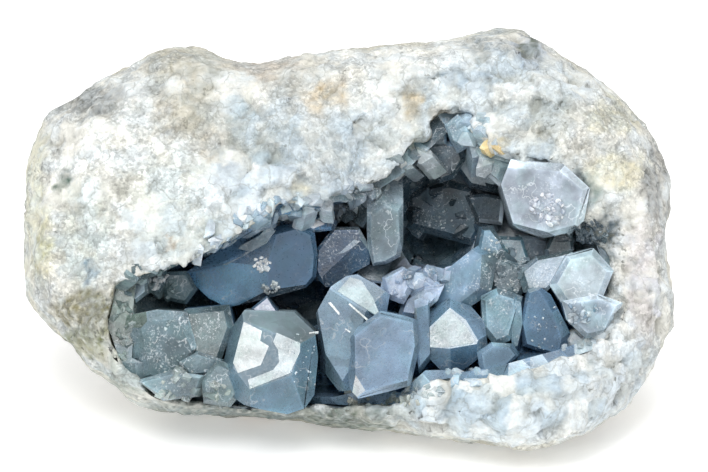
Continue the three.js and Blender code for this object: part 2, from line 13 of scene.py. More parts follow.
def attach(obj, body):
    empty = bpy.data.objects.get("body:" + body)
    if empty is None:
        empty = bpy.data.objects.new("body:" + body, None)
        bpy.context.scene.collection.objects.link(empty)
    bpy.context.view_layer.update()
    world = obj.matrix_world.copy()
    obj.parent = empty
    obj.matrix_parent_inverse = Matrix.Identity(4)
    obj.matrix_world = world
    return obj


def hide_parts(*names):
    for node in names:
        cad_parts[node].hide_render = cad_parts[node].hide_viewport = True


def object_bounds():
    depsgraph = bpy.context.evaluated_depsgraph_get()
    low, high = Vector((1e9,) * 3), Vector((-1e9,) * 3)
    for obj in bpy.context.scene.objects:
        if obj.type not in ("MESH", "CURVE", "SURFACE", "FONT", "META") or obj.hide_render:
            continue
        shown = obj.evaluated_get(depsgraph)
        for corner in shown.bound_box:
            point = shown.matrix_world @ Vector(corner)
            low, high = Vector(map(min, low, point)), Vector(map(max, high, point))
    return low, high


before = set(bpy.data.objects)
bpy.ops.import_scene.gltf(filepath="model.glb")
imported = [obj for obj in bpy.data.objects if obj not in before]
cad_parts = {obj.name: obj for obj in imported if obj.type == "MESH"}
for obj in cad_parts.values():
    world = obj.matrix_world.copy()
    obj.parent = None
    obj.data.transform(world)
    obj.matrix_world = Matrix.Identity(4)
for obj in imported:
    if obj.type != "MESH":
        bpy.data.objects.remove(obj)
cad_box = [list(corner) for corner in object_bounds()]

MM = 0.001
LEAN = math.radians(20)
FACE_MIDDLE = Vector((0.0015, 0.0034, 0.044))
EYE = 0.9  # how far the camera is from the middle of the face
PHOTO_WIDTH = 708  # in pixels
PIXEL = 0.2632 * MM  # what a pixel of the photo measures on the face
RIGHT = Vector((1, 0, 0))
UP = Vector((0, math.sin(LEAN), math.cos(LEAN)))
OUT = Vector((0, -math.cos(LEAN), math.sin(LEAN)))

# The broken face leans: on it, w + FACE_SLOPE * v is about 27
FACE_SLOPE = 0.3
HOLLOW_AS_SEEN = (8, -12, 72, 42)  # u, v, half width, half height
HOLLOW_MIDDLE = FACE_MIDDLE + MM * (HOLLOW_AS_SEEN[0] * RIGHT + HOLLOW_AS_SEEN[1] * UP + 15 * OUT)
HOLLOW_RIM = 17  # the walls of the hollow have w + FACE_SLOPE * v under this

# The stone's surface
STONE_VOXEL = 0.95 * MM
REST_BAND = 0.8 * MM  # the stone is left flat this close to the plane that it rests on
LUMPS = ((1.2, 11), (0.6, 4), (0.4, 1.9))  # height and size, in mm
RIDGES = (0.9, 9)
CHIP = 2.6 * MM  # the size of the small facets of the broken stone
ICE_CELL = 6 * MM  # the size of the large ones, where it is a mass of small crystals

# Knobs of rock that grow over the rim of the hollow: where (u, v, w) and how large
KNOBS = [
    ((45, 20.8, 20.8), 3.2), ((50, 21, 21), 3.4), ((55, 20.6, 21.4), 3.6), ((59, 18.4, 22), 3.8),
    ((62, 14, 22), 3.8), ((64, 9.5, 21.5), 4), ((65.5, 5, 21), 4.2), ((62.5, 6.5, 20), 3.4),
    ((67, 0.5, 21), 4), ((62.5, 1.5, 15.5), 4), ((69.8, -4, 22), 3.6), ((70, -9, 23.5), 3.6),
    ((70, -14, 25.5), 3.6), ((58.5, -27.6, 24.6), 3), ((33.8, 28.4, 14.4), 3.4),
    ((37.6, 24.8, 16.6), 3.4), ((41, 22.8, 18.6), 3.2), ((17.5, 27.5, 11), 3),
    ((66, -19.5, 27), 3.4), ((66, -25, 29.5), 3.6),
]

# Colours, as 8-bit values: chosen, then nudged until the average colours of areas of the
# render came close to the photo's
STONE_WHITE = (226, 227, 225)
STONE_BACK = (206, 204, 192)
WALL_SLATE = (112, 126, 138)
# Painted shade: the grey-brown that the low places of the stone's relief are painted with
PIT_SHADE = (136, 136, 126)
ICE_WHITE = (236, 240, 242)
ICE_BLUE = (160, 182, 198)
CRACK_GREY = (128, 130, 122)
SPECK_DARK = (92, 94, 86)
LINING_COLOUR = (128, 144, 154)
# Partly the white of chipped crystal edges, partly a painted highlight of light glinting on them
CHIP_WHITE_AND_GLINT = (226, 234, 240)
VEIN_WHITE = (232, 238, 242)

# The large crystals
GLASS_GAIN = 1.3  # the see-through crystals are painted lighter by this, as part of them is depth
WORN_EDGE = 0.22 * MM
# Painted light: the lighter rim painted along the edges of large crystal faces
PAINTED_RIM_WIDTH = 0.9 * MM  # how wide the lighter rim of a large face is
PAINTED_RIM_GAIN = 1.28  # how much lighter it is
ROOT = 0.3 * MM  # how deep the growth plates reach into their crystal
CELESTITE_IOR = 1.62

# Patches on the stone: where (u, v, half width, half height), colour, how strong, how speckled
STONE_PATCHES = [
    ((-59, 16, 16, 14), (243, 245, 243), 0.9, 0.0),
    ((-71, 0, 7, 14), (205, 215, 210), 0.6, 0.1),
    ((-47, 9, 12, 13), (203, 212, 208), 0.55, 0.25),
    ((-44, -2, 13, 7), (206, 214, 210), 0.5, 0.2),
    ((-43, 33, 7, 11), (200, 192, 178), 0.8, 0.3),
    ((-37, 23, 6, 5), (200, 184, 160), 0.85, 0.4),
    ((-8, 37, 7, 4), (206, 190, 164), 0.9, 0.3),
    ((-24, 45, 9, 3), (198, 180, 168), 0.75, 0.4),
    ((-44, 46, 13, 4), (180, 178, 166), 0.8, 0.7),
    ((-70, 36, 8, 4), (138, 140, 140), 0.8, 0.9),
    ((-84, 8, 3, 22), (220, 220, 198), 0.7, 0.2),
    ((-81, -3, 3, 6), (200, 194, 150), 0.8, 0.3),
    ((-70, -19, 10, 6), (142, 138, 112), 1.0, 1.0),
    ((-70, -28, 7, 4), (146, 148, 126), 1.0, 1.0),
    ((-58, -36, 9, 6), (166, 176, 172), 0.8, 0.5),
    ((-21, 17, 7, 6), (204, 210, 218), 0.8, 0.0),
    ((-33, 16, 4, 3.5), (112, 126, 140), 1.0, 0.2),
    ((-29, 32, 4, 4), (172, 186, 192), 0.7, 0.2),
    ((-8, 17, 6, 11), (166, 182, 196), 0.6, 0.1),
    ((-16, 17, 10, 16), (188, 190, 190), 0.7, 0.4),
    ((-1, 21, 5, 4), (150, 168, 184), 0.7, 0.1),
    ((-15, 10, 3, 5), (206, 194, 160), 0.8, 0.2),
    ((31, 42, 8, 4), (146, 163, 176), 0.9, 0.2),
    ((35, 49.5, 7, 3), (148, 160, 170), 0.8, 0.2),
    ((45.5, 48, 5, 4), (152, 162, 178), 0.8, 0.2),
    ((24, 36, 9, 4), (152, 170, 182), 0.7, 0.2),
    ((15, 34, 2.5, 4), (206, 180, 132), 0.9, 0.3),
    ((18, 23, 3, 4), (176, 168, 140), 0.8, 0.4),
    ((23, 32, 3, 4), (196, 176, 146), 0.7, 0.3),
    ((5, 33, 7, 7), (240, 242, 242), 0.8, 0.0),
    ((52, 32, 6, 9), (176, 174, 160), 0.7, 0.9),
    ((68, 32, 7, 5), (206, 202, 180), 0.7, 0.7),
    ((70, 17, 8, 5), (222, 216, 190), 0.8, 0.3),
    ((80, 13, 3, 11), (140, 140, 142), 0.8, 0.8),
    ((73, -8, 8, 17), (226, 226, 226), 0.6, 1.0),
    ((37, -45, 17, 6), (222, 228, 230), 0.8, 0.1),
    ((49, -41, 11, 8), (196, 210, 220), 0.7, 0.1),
    ((65, -37, 11, 12), (214, 218, 224), 0.6, 0.8),
    # Partly the stone's grey grain, partly painted shade along its underside
    ((-1, -47.5, 16, 4), (128, 136, 128), 1.0, 0.8),
    ((57, -47, 8, 3), (120, 118, 110), 0.6, 0.8),
    # Partly the stone's grey grain, partly painted shade along its underside
    ((-34, -46, 22, 4), (126, 136, 134), 1.0, 0.7),
    ((37, 23, 3, 3), (206, 186, 140), 0.8, 0.2),
    ((-76, 15, 1.8, 2.2), (84, 102, 92), 1.0, 0.2),
    ((-42, 33, 7, 8), (182, 182, 172), 0.75, 0.8),
    ((-25, 27, 12, 7), (166, 176, 178), 0.65, 0.5),
    ((-4, 22, 13, 8), (168, 178, 184), 0.65, 0.3),
    ((-21, 45, 17, 4), (190, 188, 180), 0.6, 0.6),
    ((63.7, -34.2, 2.2, 1.4), (96, 112, 110), 1.0, 0.2),
    ((64, 1, 6.5, 4), (74, 88, 96), 1.0, 1.0),
    ((52.5, 19, 3, 4), (104, 118, 112), 1.0, 1.0),
    ((61.5, 12, 3.5, 5), (150, 164, 160), 0.9, 0.4),
    ((46, 49, 2, 1.5), (96, 104, 92), 0.9, 0.6),
    ((-69.5, -10, 2.5, 2.6), (150, 172, 188), 0.9, 0.2),
    ((-58, -15, 3.5, 2), (156, 176, 190), 0.9, 0.2),
    ((-48.5, -1.5, 1.6, 1.2), (176, 150, 116), 0.9, 0.2),
    ((-39, 2, 3, 1.8), (128, 142, 138), 0.8, 0.6),
    ((-56, -22.6, 5, 0.7), (178, 156, 112), 0.8, 0.2),
    ((-30, 12, 14, 6), (248, 250, 250), 0.7, 0.0),
    ((76, -12, 4, 16), (204, 198, 206), 0.6, 0.5),
]

# Patches all over the rind: colour, size, how strong
RIND_PATCHES = [
    ((186, 176, 152), 17, 0.7),
    ((168, 172, 164), 12, 0.7),
    ((240, 240, 236), 14, 0.8),
    ((178, 156, 132), 10, 0.6),
    ((136, 138, 126), 8, 0.6),
]

# Where the broken stone is itself a mass of small crystals: place, and how strong
ICE = [
    ((40, -44, 30, 9), 1.0),
    ((64, -34, 14, 16), 0.7),
    ((-18, 20, 24, 16), 0.45),
    ((10, 26, 16, 12), 0.6),
    ((40, 38, 22, 10), 0.6),
    ((-44, -1, 16, 10), 0.5),
    ((46, 14, 14, 12), 0.8),
    ((-24.5, 17.5, 6.5, 5), 1.0),
    ((-17, 8, 6, 5), 0.9),
    ((-30, 14, 4, 4), 0.9),
    ((27, 41, 8, 4), 0.8),
    ((36, 31, 6, 4), 0.9),
]

# Crystals: where (u, v, half width, half height), finish, colour. Dark colours in the chamber under
# the brow, the hole and the gap are partly painted shade.
CLEAR, MILKY, DEEP = range(3)
CRYSTAL_ZONES = [
    ((-20, -32, 12, 14), CLEAR, (92, 121, 138)),
    ((-17, -20, 11, 3), MILKY, (118, 134, 142)),
    ((-48, -29, 15, 11), MILKY, (96, 114, 122)),
    ((-61, -22, 3.5, 11), MILKY, (92, 106, 102)),
    ((-36, -39, 5, 6), MILKY, (104, 120, 126)),
    ((-2, -28, 8, 14), CLEAR, (116, 142, 164)),
    ((8, -32, 9, 11), CLEAR, (124, 150, 174)),
    ((16, -13, 8, 5), MILKY, (146, 162, 184)),
    ((27, -27, 9, 11), CLEAR, (112, 140, 164)),
    ((31, -8, 8, 9), MILKY, (100, 126, 146)),
    ((40, -9, 6, 8), DEEP, (88, 106, 116)),
    ((38, -21, 7, 7), MILKY, (108, 134, 148)),
    ((38, -34, 5, 5), CLEAR, (104, 132, 154)),
    ((50, -23, 7, 9), CLEAR, (98, 128, 156)),
    ((51, -10, 6, 6), MILKY, (132, 148, 162)),
    ((61, -15, 9, 11), MILKY, (164, 180, 192)),
    ((54, -2, 3, 3), DEEP, (70, 84, 90)),
    ((42, -4, 4, 4), MILKY, (88, 116, 128)),
    ((48, 9, 13, 9), MILKY, (166, 178, 188)),
    ((35, 19, 4, 5), MILKY, (160, 176, 184)),
    ((27, 27, 5, 4), MILKY, (140, 162, 178)),
    # Partly the crystals' slate colour, partly painted shade: the dark crystals of the chamber under
    # the brow, in these four rows
    ((21, 26, 3, 3), DEEP, (60, 74, 82)),
    ((22, 19, 6, 4), DEEP, (80, 96, 106)),
    ((24, 8, 9, 7), DEEP, (74, 92, 104)),
    ((34, 9, 5, 6), DEEP, (64, 78, 88)),
    ((22, -3, 10, 5), DEEP, (100, 120, 132)),
    ((8, 0, 5, 8), MILKY, (118, 132, 142)),
    # Partly painted shade: the dark hole above the middle
    ((-1, 4, 4, 4), DEEP, (66, 78, 86)),
    ((-25, -5, 19, 13), CLEAR, (84, 116, 146)),
    ((-24, 10, 12, 3), MILKY, (146, 166, 180)),
    ((-4, -6, 7, 8), MILKY, (52, 74, 96)),
    ((-49, -12, 6, 5), DEEP, (84, 104, 112)),
    # Partly painted shade: the dark gap between the big crystals
    ((-21, -16, 12, 5), DEEP, (66, 84, 102)),
    ((48, -37, 11, 4), MILKY, (168, 186, 200)),
    ((30, -40, 12, 2), MILKY, (154, 174, 190)),
]

# Single crystal faces, each by a point on it as seen: colour and roughness
CRYSTAL_FACES = [
    ((-22, -31), (88, 114, 130), 0.45),
    ((-20, -22), (120, 138, 146), 0.4),
    ((-13, -33), (108, 138, 156), 0.3),
    ((-22, -42), (96, 130, 152), 0.3),
    ((-32, -30), (108, 134, 150), 0.3),
    ((-5, -26), (102, 126, 146), 0.3),
    ((-9, -20), (120, 144, 164), 0.3),
    ((-4, -38), (108, 132, 148), 0.3),
    ((8, -30), (118, 144, 170), 0.3),
    ((1, -39), (206, 218, 226), 0.3),
    # Painted reflection, in part: this face is painted paler for the light mirrored in it
    ((26, -26), (146, 166, 180), 0.25),
    ((26, -31.5), (80, 114, 144), 0.3),
    ((20, -21), (116, 142, 162), 0.3),
    ((28, -8), (104, 130, 152), 0.35),
    ((49, -22), (92, 124, 152), 0.3),
    ((54, -24), (120, 150, 174), 0.3),
    ((-17, -5), (68, 104, 140), 0.25),
    ((-32, -10), (110, 156, 190), 0.3),
    ((-20, -13.6), (80, 112, 142), 0.35),
    ((-6, -4), (46, 68, 92), 0.4),
    ((8, 0), (104, 118, 126), 0.35),
    # Partly painted shade of the chamber under the brow
    ((24, 8), (76, 94, 106), 0.35),
    ((48, 9), (150, 160, 172), 0.45),
    ((61, -11), (150, 164, 172), 0.45),
    ((62, -21), (150, 166, 180), 0.35),
    ((-50, -30), (86, 106, 114), 0.4),
    ((-40, -26), (74, 92, 96), 0.4),
    ((46, -33), (112, 136, 158), 0.4),
]

# Thin growth plates and slivers on the faces, several painted pale or white as painted reflections
# and glints: outline as seen, colour, roughness, thickness
PLATES_AND_GLINTS = [
    # Painted reflection: the next two growth plates, on the big front crystal, are painted pale for
    # the light mirrored in them
    ([(-29, -22.6), (-24.2, -25), (-24.7, -27.6), (-22.4, -29), (-24.5, -34), (-30.5, -36.1),
      (-31.8, -33.4)], (192, 204, 208), 0.35, 0.15),
    ([(-20.3, -25.5), (-14.2, -28.2), (-14.2, -30.5), (-16.8, -36.1), (-27.4, -40.3),
      (-27.9, -37.9), (-21.3, -35.3), (-19.7, -33.2), (-20, -30), (-21.3, -27.9)],
     (168, 183, 190), 0.35, 0.15),
    # Painted reflection and glints: a top facet painted pale for the light it mirrors, then white
    # slivers that are painted glints
    ([(-4.3, -14.6), (-1.1, -10.9), (1.9, -11.7), (5.1, -16.5), (6.6, -20.3), (5.7, -20.8)],
     (166, 184, 194), 0.3, 0.1),
    ([(-6.8, -17.6), (-6.1, -17.4), (-3.7, -20.3), (-3.9, -20.9)], (240, 246, 250), 0.2, 0.15),
    ([(-1.4, -18), (-1.1, -17.7), (3.8, -22), (3.5, -22.4)], (240, 246, 250), 0.2, 0.15),
    ([(-2.5, -24.4), (-2.1, -24.4), (-0.8, -25.2), (-1.1, -25.5)], (240, 246, 250), 0.2, 0.15),
    ([(-11.8, -25.5), (-9.4, -25.2), (-9.4, -25.5), (-11.8, -25.8)], (240, 246, 250), 0.2, 0.2),
    ([(-35.5, -7.5), (-33.6, -7.7), (-22.9, -1.9), (-20.7, 1.4), (-22.2, 2.9), (-25.1, -0.1),
      (-29.9, -2.7), (-32.9, -5.6)], (150, 168, 182), 0.25, 0.3),
    ([(-4.1, -4.7), (-1.1, -1.9), (0, -1), (1.7, -1.2), (0.7, -2.3), (-2.6, -4.5)],
     (140, 156, 176), 0.2, 0.12),
    # Painted reflection: a facet painted near white for the light it mirrors
    ([(-13.5, 3.1), (-11.4, 4.5), (-9.4, 4.2), (-7.6, 3.1), (-10.7, 1.9)],
     (232, 236, 244), 0.2, 0.2),
    ([(-26.4, -19.3), (-22.9, -16.5), (-20.3, -20.4), (-24, -20.8)], (160, 164, 184), 0.2, 0.3),
    # Painted glints: a white sliver, and a glint in the dark hole
    ([(-17.6, -19.7), (-17.4, -17.5), (-16.8, -17.5), (-17, -19.7)], (240, 244, 250), 0.2, 0.2),
    ([(-1.8, 4.2), (-0.2, 3.4), (-1.5, 2.9)], (240, 244, 250), 0.2, 0.2),
    # Painted reflection: the pale plate on the same face stands in for the light mirrored in it
    ([(25.1, -19.6), (29.6, -23.9), (31.6, -27.2), (31.4, -28.1), (24.9, -29.2), (20.1, -29.3),
      (20, -24.8)], (168, 184, 192), 0.25, 0.1),
]


# Where a point is seen, as (u, v, w) in millimetres
def seen(point):
    from_middle = point - FACE_MIDDLE
    ahead = from_middle.dot(OUT)
    nearer = 1 - ahead / EYE
    return (
        from_middle.dot(RIGHT) / nearer / MM,
        from_middle.dot(UP) / nearer / MM,
        ahead / MM,
    )


# The place that is seen at (u, v) and stands out by w
def real(u, v, w):
    return FACE_MIDDLE + MM * ((1 - w * MM / EYE) * (u * RIGHT + v * UP) + w * OUT)


# The colour as light, not as it is stored in 8 bits
def linear(colour):
    return tuple((value / 255) ** 2.2 for value in colour)


def mixed(first, second, share):
    return tuple(a + (b - a) * share for a, b in zip(first, second))


def smooth(low, high, value):
    share = min(max((value - low) / (high - low), 0), 1)
    return share * share * (3 - 2 * share)


# How far (u, v) is from the middle of the oval place, where 1 is on its edge
def distance_in(u, v, place):
    return math.hypot((u - place[0]) / place[2], (v - place[1]) / place[3])


# The line of sight from the camera through (u, v)
def sight(u, v):
    eye = FACE_MIDDLE + EYE * OUT
    target = FACE_MIDDLE + MM * (u * RIGHT + v * UP)
    return eye, (target - eye).normalized()


# What is seen at (u, v): the place on the surface, its normal and the number of its face
def met_at(tree, u, v):
    place, normal, number, _ = tree.ray_cast(*sight(u, v))
    return place, normal, number


# A merged copy of a CAD node's mesh, as a bmesh
def merged_copy(node):
    mesh = bmesh.new()
    mesh.from_mesh(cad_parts[node].data)
    bmesh.ops.remove_doubles(mesh, verts=mesh.verts, dist=1e-6)
    return mesh


def new_object(name, mesh):
    data = bpy.data.meshes.new(name)
    mesh.to_mesh(data)
    mesh.free()
    thing = bpy.data.objects.new(name, data)
    bpy.context.scene.collection.objects.link(thing)
    return thing


# The outside of everything in the mesh, as one even mesh
def remeshed(mesh, voxel):
    rough = new_object("rough", mesh)
    modifier = rough.modifiers.new("even", "REMESH")
    modifier.mode = "VOXEL"
    modifier.voxel_size = voxel
    modifier.adaptivity = 0
    even = bpy.data.meshes.new_from_object(
        rough.evaluated_get(bpy.context.evaluated_depsgraph_get())
    )
    result = bmesh.new()
    result.from_mesh(even)
    bpy.data.objects.remove(rough)
    bpy.data.meshes.remove(even)
    return result


# Flat facets: every point in one cell of size lies on one tilted plane. Also gives a number from
# 0 to 1 that is the cell's own.
def facets(point, size, tilt):
    scaled = point / size
    nearest = noise.voronoi(scaled)[1][0]
    own = noise.cell_vector(nearest * 7.3)
    lean = own * 2 - Vector((1, 1, 1))
    return (scaled - nearest).dot(lean) * size * tilt, own.x


def ice_at(u, v):
    return max(strength * smooth(1.3, 0.7, distance_in(u, v, place)) for place, strength in ICE)


def in_hollow(point, normal, u, v, w):
    inside = distance_in(u, v, HOLLOW_AS_SEEN) < 1 and w + FACE_SLOPE * v < HOLLOW_RIM
    return inside and normal.dot(HOLLOW_MIDDLE - point) > 0


def stone_relief(point, normal):
    u, v, w = seen(point)
    front = smooth(0, 0.5, normal.dot(OUT))
    ice = ice_at(u, v) * front
    rough = 1 - 0.6 * ice
    height = sum(lump * MM * rough * noise.noise(point / (size * MM)) for lump, size in LUMPS)
    ridge, size = RIDGES
    ridges = abs(noise.noise(point / (size * MM) + Vector((5, 0, 0))))
    height -= ridge * MM * front * rough * ridges
    height += facets(point, ICE_CELL, 0.2 * front + 0.25 * ice)[0]
    height += facets(point, CHIP, 0.22 * front)[0]
    if in_hollow(point, normal, u, v, w):
        height = min(height, 0) * 0.5
    return height


# The colour of the stone at a point, with painted shade in the low places of its relief, how speckled
# it is there and how much of it is small crystals
def stone_tone(point, normal, height, cell):
    u, v, w = seen(point)
    front = smooth(-0.1, 0.35, normal.dot(OUT))
    colour = mixed(linear(STONE_BACK), linear(STONE_WHITE), front)
    speckle = 0.25
    wander_u = u + 3.5 * noise.noise(point / (5 * MM)) + 1.5 * noise.noise(point / (1.8 * MM))
    wander_v = v + 3.5 * noise.noise(point / (5 * MM) + Vector((9, 0, 0)))
    wander_v += 1.5 * noise.noise(point / (1.8 * MM) + Vector((9, 0, 0)))
    grainy = 0.8 + 0.7 * noise.noise(point / (1.3 * MM))
    for place, patch, strength, grains in STONE_PATCHES:
        share = strength * smooth(1.35, 0.6, distance_in(wander_u, wander_v, place))
        share *= smooth(-14, 2, w + FACE_SLOPE * v) * grainy
        if share:
            colour = mixed(colour, linear(patch), share)
            speckle += (grains - speckle) * share
    behind = smooth(4, -16, w + FACE_SLOPE * v)
    for seed, (patch, size, strength) in enumerate(RIND_PATCHES):
        field = noise.noise(point / (size * MM) + Vector((0, 0, 20 * seed)))
        field += 0.4 * noise.noise(point / (size * MM / 3) + Vector((0, 30 * seed, 0)))
        share = strength * smooth(0.12, 0.4, field) * behind
        colour = mixed(colour, linear(patch), share)
        speckle = max(speckle, 0.8 * share)
    ice = ice_at(u, v) * front
    colour = mixed(colour, mixed(linear(ICE_WHITE), linear(ICE_BLUE), cell), 0.75 * ice)
    # Painted shade: the lower a place of the relief lies, the more grey-brown it is painted
    colour = mixed(colour, linear(PIT_SHADE), smooth(0, -2.2 * MM, height) * 0.55)
    if in_hollow(point, normal, u, v, w):
        colour = linear(WALL_SLATE)
    return colour, speckle, ice


def make_stone():
    mesh = merged_copy("geode_shell")
    for spot, radius in KNOBS:
        bmesh.ops.create_icosphere(
            mesh, subdivisions=2, radius=radius * MM, matrix=Matrix.Translation(real(*spot))
        )
    mesh = remeshed(mesh, STONE_VOXEL)
    mesh.normal_update()
    lowest, highest = (Vector(corner) for corner in cad_box)
    tone = mesh.verts.layers.float_color.new("tone")
    grain = mesh.verts.layers.float.new("grain")
    ice = mesh.verts.layers.float.new("ice")
    for vertex in mesh.verts:
        height = stone_relief(vertex.co, vertex.normal) if vertex.co.z > REST_BAND else 0
        cell = facets(vertex.co, ICE_CELL, 1)[1]
        place = vertex.co + height * vertex.normal
        colour, speckle, icy = stone_tone(vertex.co, vertex.normal, height, cell)
        vertex.co = [min(max(place[i], lowest[i]), highest[i]) for i in range(3)]
        vertex[tone] = (*colour, 1)
        vertex[grain] = speckle
        vertex[ice] = icy
    for face in mesh.faces:
        face.smooth = True
    stone = new_object("geode_rock", mesh)
    stone.data.materials.append(stone_material())
    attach(stone, "root")
    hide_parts("geode_shell")
    return stone


# The finish and the colour of the crystal that is nearest
def zone_of(point):
    u, v, _ = seen(point)
    best = min(CRYSTAL_ZONES, key=lambda zone: distance_in(u, v, zone[0]))
    if distance_in(u, v, best[0]) > 1.35:
        return MILKY, LINING_COLOUR
    return best[1], best[2]


# The layers that hold the colour and the roughness of each face
def paint_layers(mesh):
    return mesh.loops.layers.float_color.new("tint"), mesh.loops.layers.float.new("polish")


# Paints a face, a little deeper towards one side of it
def paint(face, tint, polish, colour, roughness, drift=0.0):
    middle = face.calc_center_median()
    side = noise.cell_vector(middle * 3000) * 2 - Vector((1, 1, 1))
    reach = math.sqrt(face.calc_area()) or 1
    for loop in face.loops:
        shade = 1 + drift * (loop.vert.co - middle).dot(side) / reach
        loop[tint] = (*(min(max(value * shade, 0), 0.95) for value in colour), 1)
        loop[polish] = roughness


# Bevels the long convex edges between large faces, and gives the faces that this makes
def soften_edges(mesh):
    def chipped_and_glinting(edge):
        if len(edge.link_faces) != 2 or not edge.is_convex:
            return False
        large = min(face.calc_area() for face in edge.link_faces) > 3 * MM * MM
        return large and edge.calc_face_angle() > math.radians(14) and edge.calc_length() > 1.5 * MM

    result = bmesh.ops.bevel(
        mesh, geom=[edge for edge in mesh.edges if chipped_and_glinting(edge)], offset=WORN_EDGE,
        offset_type="OFFSET", affect="EDGES", segments=1, profile=0.5, clamp_overlap=True,
        material=-1,
    )
    return set(result["faces"])


# Sets off a narrow border in each large face, which fades from lighter at the edge to its own colour:
# painted light, standing in for light seen through a crystal's thin edge
def add_painted_rims(mesh, tint):
    large = [
        face for face in mesh.faces if face.calc_area() > 8 * MM * MM
        and all(loop.is_convex and loop.calc_angle() > math.radians(50) for loop in face.loops)
    ]
    for face in large:
        width = min(PAINTED_RIM_WIDTH, 0.16 * math.sqrt(face.calc_area()))
        own = {loop.vert: Vector(loop[tint]) for loop in face.loops}
        ring = bmesh.ops.inset_individual(
            mesh, faces=[face], thickness=width, depth=0, use_even_offset=False,
            use_interpolate=True,
        )["faces"]
        for part in ring:
            for loop in part.loops:
                if loop.vert in own:
                    loop[tint] = [min(value * PAINTED_RIM_GAIN, 1) for value in own[loop.vert]]


# A flat plate on the crystal that is seen at its middle. It reaches a little way into the crystal.
def add_plate(mesh, tree, outline, colour, roughness, thick):
    middle = [sum(values) / len(outline) for values in zip(*outline)]
    place, normal, _ = met_at(tree, *middle)
    corners = []
    for u, v in outline:
        eye, along = sight(u, v)
        corners.append(eye + along * ((place - eye).dot(normal) / along.dot(normal)))
    plate = bmesh.new()
    face = plate.faces.new([plate.verts.new(corner - ROOT * normal) for corner in corners])
    top = bmesh.ops.extrude_face_region(plate, geom=[face])
    raised = [part for part in top["geom"] if isinstance(part, bmesh.types.BMVert)]
    bmesh.ops.translate(plate, verts=raised, vec=(ROOT + thick * MM) * normal)
    bmesh.ops.recalc_face_normals(plate, faces=plate.faces)
    layers = paint_layers(plate)
    for face in plate.faces:
        paint(face, *layers, linear(colour), roughness)
        face.material_index = MILKY
    add_to(mesh, plate)


def add_to(whole, part):
    data = bpy.data.meshes.new("part")
    part.to_mesh(data)
    part.free()
    whole.from_mesh(data)
    bpy.data.meshes.remove(data)


def make_crystals():
    mesh = merged_copy("crystal_crust")
    bmesh.ops.dissolve_limit(
        mesh, angle_limit=math.radians(1.5), verts=mesh.verts, edges=mesh.edges,
        use_dissolve_boundaries=False, delimit=set(),
    )
    tint, polish = paint_layers(mesh)
    mesh.normal_update()
    chipped_and_glinting = soften_edges(mesh)
    mesh.normal_update()
    mesh.faces.ensure_lookup_table()
    tree = BVHTree.FromBMesh(mesh)
    told = {}
    for (u, v), colour, roughness in CRYSTAL_FACES:
        number = met_at(tree, u, v)[2]
        told[number] = (colour, roughness)
    for face in mesh.faces:
        finish, colour = zone_of(face.calc_center_median())
        face.material_index = finish
        gain = GLASS_GAIN if finish == CLEAR else 1
        if face.index in told:
            colour, roughness = told[face.index]
            colour = [gain * value for value in linear(colour)]
            paint(face, tint, polish, colour, roughness, 0.4)
            continue
        shade = 1 + 0.25 * noise.noise(face.normal * 3.7 + face.calc_center_median() * 20)
        # Painted light: faces that point up are painted up to a tenth lighter, as if lit from above
        shade *= (1 + 0.1 * face.normal.z) * gain
        colour = [value * shade for value in linear(colour)]
        # Painted highlight, in part: the bevelled edges are painted pale, partly the white of chipped
        # edges and partly the glint of light along them
        if face in chipped_and_glinting:
            colour = mixed(colour, linear(CHIP_WHITE_AND_GLINT), 0.5)
        paint(face, tint, polish, colour, 0.3, 0.4)
    add_painted_rims(mesh, tint)
    for outline, colour, roughness, thick in PLATES_AND_GLINTS:
        add_plate(mesh, tree, outline, colour, roughness, thick)
    crystals = new_object("geode_crystals", mesh)
    for material in (clear_material(), milky_material(), deep_material()):
        crystals.data.materials.append(material)
    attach(crystals, "root")
    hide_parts("crystal_crust")
    return crystals


# Small crystals

CORNER_CUT = 0.243  # how far out the cut on a long edge is, as a share of the width and the thickness
SUNK = 0.78  # how much of its length a small crystal is sunk into what it grows on
SUNK_SPRAY = 0.5


# A bar with a chisel end that points up, and two of its long edges cut off
def blade(rand, length, width):
    mesh = bmesh.new()
    bmesh.ops.create_cube(mesh, size=1)
    thick = width * rand.uniform(0.45, 0.8)
    bmesh.ops.scale(mesh, vec=(width, thick, 2 * length), verts=mesh.verts)
    cuts = [
        (0, rand.uniform(35, 55), 0.0),
        (180, rand.uniform(30, 55), 0.0),
        (rand.choice((90, 270)), rand.uniform(25, 60), 0.15),
        (rand.uniform(40, 60), 90, 0.0),
        (rand.uniform(220, 240), 90, 0.0),
    ]
    for turn, slope, back in cuts:
        turn = math.radians(turn)
        slope = math.radians(slope)
        normal = Vector((
            math.sin(slope) * math.cos(turn), math.sin(slope) * math.sin(turn), math.cos(slope)
        ))
        if back or slope < 1.5:
            on_plane = Vector((0, 0, length * (1 - back)))
        else:
            on_plane = CORNER_CUT * (width + thick) * normal
        cut = bmesh.ops.bisect_plane(
            mesh, geom=[*mesh.verts, *mesh.edges, *mesh.faces],
            plane_co=on_plane, plane_no=normal, clear_outer=True,
        )
        rim = [part for part in cut["geom_cut"] if isinstance(part, bmesh.types.BMEdge)]
        if rim:
            bmesh.ops.edgeloop_fill(mesh, edges=rim)
    return mesh


